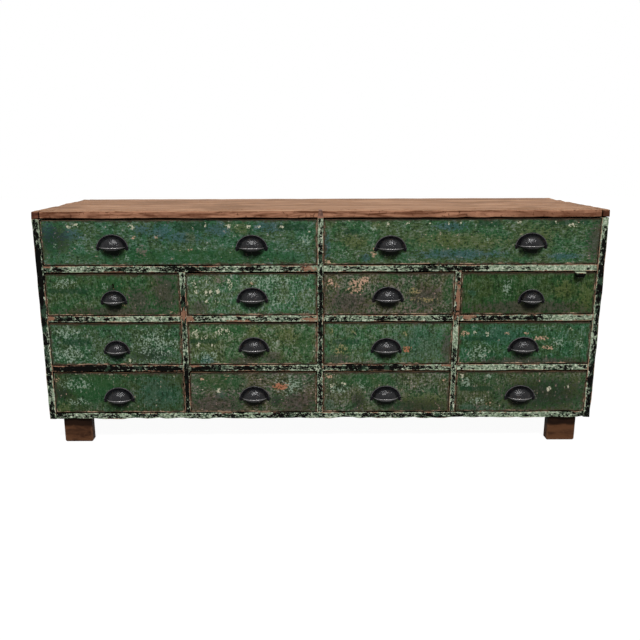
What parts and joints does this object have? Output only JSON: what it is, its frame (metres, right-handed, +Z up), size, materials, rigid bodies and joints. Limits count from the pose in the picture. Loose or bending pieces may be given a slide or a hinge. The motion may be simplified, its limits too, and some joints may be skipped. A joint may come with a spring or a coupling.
{
  "type": "bank of drawers cabinet",
  "caption": "Low painted wooden cabinet with long drawers over rows of short drawers, all with cast cup pulls, on short feet.",
  "frame": {"origin": "on the floor, under the middle of the overall box, pulls included", "axes": "+X to the right seen from the front, +Y to the back, +Z up; the drawers face and slide out along -Y"},
  "size_m": [1.8, 0.5774, 0.772],
  "materials": {
    "frame_paint": "pale green paint worn over black, on pine",
    "drawer_paint": "worn deep green paint on pine",
    "raw_pine": "bare aged pine",
    "top_wood": "scrubbed and waxed pine planks",
    "top_edge_wood": "red-brown stained lipping",
    "foot_wood": "dark stained board",
    "black_iron": "blackened cast iron"
  },
  "bodies": {
    "carcass": {"side_panel_left": "frame_paint", "side_panel_right": "frame_paint", "centre_divider": "frame_paint", "quarter_divider_left": "frame_paint", "quarter_divider_right": "frame_paint", "long_rails": "frame_paint", "short_rails": "frame_paint", "bottom_rail": "frame_paint", "bottom_planks": "raw_pine", "drawer_runners": "raw_pine", "drawer_stops": "raw_pine", "back_boards": "raw_pine", "feet": "foot_wood", "top_planks": "top_wood", "top_front_lipping": "top_edge_wood", "top_end_lippings": "top_edge_wood"},
    "drawer_1a": {"drawer_1a_front": "drawer_paint", "drawer_1a_box": "raw_pine", "drawer_1a_pulls": "black_iron"},
    "drawer_1b": {"drawer_1b_front": "drawer_paint", "drawer_1b_box": "raw_pine", "drawer_1b_pulls": "black_iron"},
    "drawer_2a": {"drawer_2a_front": "drawer_paint", "drawer_2a_box": "raw_pine", "drawer_2a_pull": "black_iron"},
    "drawer_2b": {"drawer_2b_front": "drawer_paint", "drawer_2b_box": "raw_pine", "drawer_2b_pull": "black_iron"},
    "drawer_2c": {"drawer_2c_front": "drawer_paint", "drawer_2c_box": "raw_pine", "drawer_2c_pull": "black_iron"},
    "drawer_2d": {"drawer_2d_front": "drawer_paint", "drawer_2d_box": "raw_pine", "drawer_2d_pull": "black_iron", "finger_block": "frame_paint"},
    "drawer_3a": {"drawer_3a_front": "drawer_paint", "drawer_3a_box": "raw_pine", "drawer_3a_pull": "black_iron"},
    "drawer_3b": {"drawer_3b_front": "drawer_paint", "drawer_3b_box": "raw_pine", "drawer_3b_pull": "black_iron"},
    "drawer_3c": {"drawer_3c_front": "drawer_paint", "drawer_3c_box": "raw_pine", "drawer_3c_pull": "black_iron"},
    "drawer_3d": {"drawer_3d_front": "drawer_paint", "drawer_3d_box": "raw_pine", "drawer_3d_pull": "black_iron"},
    "drawer_4a": {"drawer_4a_front": "drawer_paint", "drawer_4a_box": "raw_pine", "drawer_4a_pull": "black_iron"},
    "drawer_4b": {"drawer_4b_front": "drawer_paint", "drawer_4b_box": "raw_pine", "drawer_4b_pull": "black_iron"},
    "drawer_4c": {"drawer_4c_front": "drawer_paint", "drawer_4c_box": "raw_pine", "drawer_4c_pull": "black_iron"},
    "drawer_4d": {"drawer_4d_front": "drawer_paint", "drawer_4d_box": "raw_pine", "drawer_4d_pull": "black_iron"}
  },
  "joints": [
    {"name": "drawer_1a_slide", "type": "slide", "parent": "carcass", "child": "drawer_1a", "axis": [0, -1, 0], "range_m": [0, 0.4]},
    {"name": "drawer_1b_slide", "type": "slide", "parent": "carcass", "child": "drawer_1b", "axis": [0, -1, 0], "range_m": [0, 0.4]},
    {"name": "drawer_2a_slide", "type": "slide", "parent": "carcass", "child": "drawer_2a", "axis": [0, -1, 0], "range_m": [0, 0.4]},
    {"name": "drawer_2b_slide", "type": "slide", "parent": "carcass", "child": "drawer_2b", "axis": [0, -1, 0], "range_m": [0, 0.4]},
    {"name": "drawer_2c_slide", "type": "slide", "parent": "carcass", "child": "drawer_2c", "axis": [0, -1, 0], "range_m": [0, 0.4]},
    {"name": "drawer_2d_slide", "type": "slide", "parent": "carcass", "child": "drawer_2d", "axis": [0, -1, 0], "range_m": [0, 0.4]},
    {"name": "drawer_3a_slide", "type": "slide", "parent": "carcass", "child": "drawer_3a", "axis": [0, -1, 0], "range_m": [0, 0.4]},
    {"name": "drawer_3b_slide", "type": "slide", "parent": "carcass", "child": "drawer_3b", "axis": [0, -1, 0], "range_m": [0, 0.4]},
    {"name": "drawer_3c_slide", "type": "slide", "parent": "carcass", "child": "drawer_3c", "axis": [0, -1, 0], "range_m": [0, 0.4]},
    {"name": "drawer_3d_slide", "type": "slide", "parent": "carcass", "child": "drawer_3d", "axis": [0, -1, 0], "range_m": [0, 0.4]},
    {"name": "drawer_4a_slide", "type": "slide", "parent": "carcass", "child": "drawer_4a", "axis": [0, -1, 0], "range_m": [0, 0.4]},
    {"name": "drawer_4b_slide", "type": "slide", "parent": "carcass", "child": "drawer_4b", "axis": [0, -1, 0], "range_m": [0, 0.4]},
    {"name": "drawer_4c_slide", "type": "slide", "parent": "carcass", "child": "drawer_4c", "axis": [0, -1, 0], "range_m": [0, 0.4]},
    {"name": "drawer_4d_slide", "type": "slide", "parent": "carcass", "child": "drawer_4d", "axis": [0, -1, 0], "range_m": [0, 0.4]}
  ]
}
